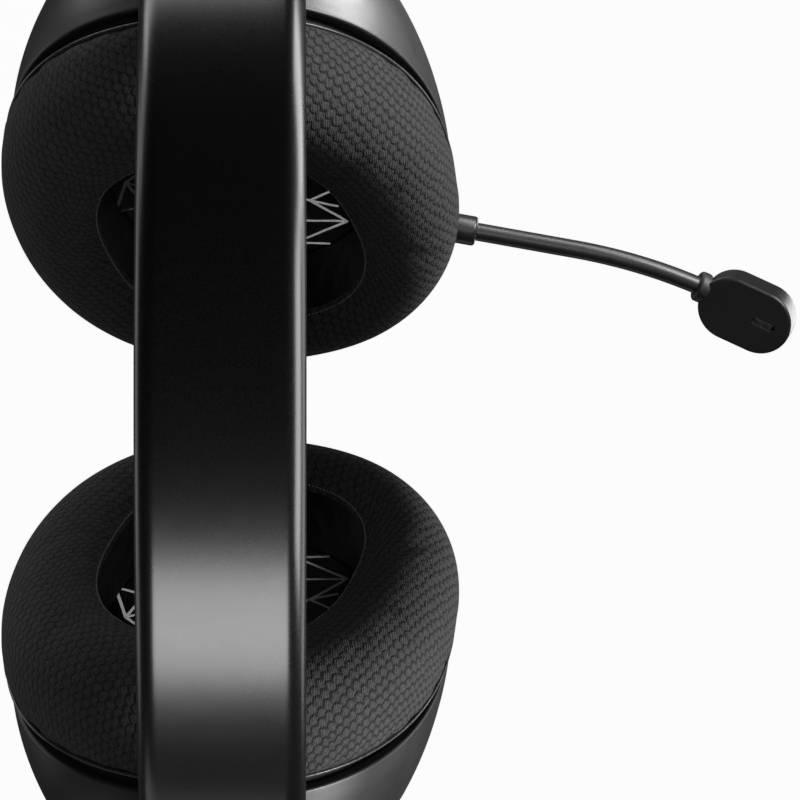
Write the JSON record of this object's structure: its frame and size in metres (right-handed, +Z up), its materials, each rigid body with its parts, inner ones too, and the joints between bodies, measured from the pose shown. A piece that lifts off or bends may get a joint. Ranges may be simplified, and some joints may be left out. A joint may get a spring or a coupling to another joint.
{
  "type": "gaming headset",
  "caption": "Closed-back over-ear gaming headset with a wide arched headband, knit ear cushions, tilting and swivelling cups and a detachable boom microphone.",
  "frame": {"origin": "the middle of the crown cushion's underside, where the headset rests on the head", "axes": "+Z up, +X towards the wearer's left, -Y towards the wearer's front"},
  "size_m": [0.1804, 0.1558, 0.1996],
  "materials": {
    "band_black": "satin, fine speckle",
    "trim_black": "fine moulded texture",
    "spring_steel": "brushed",
    "shell_black": "satin soft touch",
    "plate_black": "satin soft touch",
    "inner_black": "matt",
    "knit_fabric": "black airy knit",
    "scrim_fabric": "thin knit with pale lines",
    "magnet_steel": "plain",
    "film": "thin film",
    "cable_rubber": "matt",
    "board_green": "lacquered",
    "battery_wrap": "wrapped",
    "control_black": "fine moulded texture",
    "light_lens": "clear",
    "boom_rubber": "smooth satin",
    "capsule_black": "satin",
    "plug_metal": "polished"
  },
  "bodies": {
    "headband": {"band_cover": "band_black", "band_spring": "spring_steel", "band_liner": "trim_black", "crown_cushion": "knit_fabric", "crossover_cable": "cable_rubber", "band_screws": "spring_steel", "slider_housing_left": "trim_black", "slider_housing_right": "trim_black", "detent_spring_left": "spring_steel", "detent_spring_right": "spring_steel"},
    "arm_left": {"sliding_arm_left": "spring_steel", "arm_foot_left": "trim_black"},
    "fork_left": {"swivel_fork_left": "trim_black", "swivel_clip_left": "spring_steel", "tilt_pin_left": "spring_steel"},
    "cup_left": {"cup_shell_left": "shell_black", "outer_plate_left": "plate_black", "baffle_left": "inner_black", "cup_screws_left": "spring_steel", "driver_frame_left": "inner_black", "driver_magnet_left": "magnet_steel", "driver_diaphragm_left": "film", "cushion_ring_left": "inner_black", "speaker_scrim_left": "scrim_fabric", "ear_cushion_left": "knit_fabric", "circuit_board": "board_green", "wheel_axle": "spring_steel", "control_frame": "inner_black", "button_switches": "inner_black", "status_light": "light_lens", "audio_jack": "control_black", "usb_port": "magnet_steel", "mic_socket": "control_black"},
    "arm_right": {"sliding_arm_right": "spring_steel", "arm_foot_right": "trim_black"},
    "fork_right": {"swivel_fork_right": "trim_black", "swivel_clip_right": "spring_steel", "tilt_pin_right": "spring_steel"},
    "cup_right": {"cup_shell_right": "shell_black", "outer_plate_right": "plate_black", "baffle_right": "inner_black", "cup_screws_right": "spring_steel", "driver_frame_right": "inner_black", "driver_magnet_right": "magnet_steel", "driver_diaphragm_right": "film", "cushion_ring_right": "inner_black", "speaker_scrim_right": "scrim_fabric", "ear_cushion_right": "knit_fabric", "battery": "battery_wrap"},
    "volume_wheel": {"volume_wheel": "control_black"},
    "power_button": {"power_button": "control_black"},
    "mute_button": {"mute_button": "control_black"},
    "microphone": {"mic_plug": "plug_metal", "mic_collar": "boom_rubber", "mic_boom": "boom_rubber", "mic_neck": "boom_rubber", "capsule_front": "capsule_black", "capsule_back": "capsule_black", "mic_element": "magnet_steel"}
  },
  "joints": [
    {"name": "left_slide", "type": "slide", "parent": "headband", "child": "arm_left", "axis": [-0.0523, 0, -0.9986], "range_m": [0, 0.02]},
    {"name": "left_swivel", "type": "hinge", "parent": "arm_left", "child": "fork_left", "pos_m": [0.07774, 0, -0.08866], "axis": [0.0523, 0, 0.9986], "range_deg": [-15, 90]},
    {"name": "left_tilt", "type": "hinge", "parent": "fork_left", "child": "cup_left", "pos_m": [0.07749, 0, -0.09351], "axis": [0, 1, 0], "range_deg": [-26, 0]},
    {"name": "right_slide", "type": "slide", "parent": "headband", "child": "arm_right", "axis": [0.0523, 0, -0.9986], "range_m": [0, 0.02]},
    {"name": "right_swivel", "type": "hinge", "parent": "arm_right", "child": "fork_right", "pos_m": [-0.07774, 0, -0.08866], "axis": [0.0523, 0, -0.9986], "range_deg": [-15, 90]},
    {"name": "right_tilt", "type": "hinge", "parent": "fork_right", "child": "cup_right", "pos_m": [-0.07749, 0, -0.09351], "axis": [0, -1, 0], "range_deg": [-26, 0]},
    {"name": "volume_turn", "type": "hinge", "parent": "cup_left", "child": "volume_wheel", "pos_m": [0.05586, 0.03235, -0.14325], "axis": [0.8746, 0, -0.4848], "range_deg": [-140, 140]},
    {"name": "power_press", "type": "slide", "parent": "cup_left", "child": "power_button", "axis": [-0.0807, -0.9295, 0.3599], "range_m": [0, 0.0008], "stiffness_N_per_m": 1200},
    {"name": "mute_press", "type": "slide", "parent": "cup_left", "child": "mute_button", "axis": [-0.0167, -0.8769, 0.4803], "range_m": [0, 0.0008], "stiffness_N_per_m": 1200},
    {"name": "mic_unplug", "type": "slide", "parent": "cup_left", "child": "microphone", "axis": [-0.1754, -0.9845, 0], "range_m": [0, 0.02]}
  ]
}
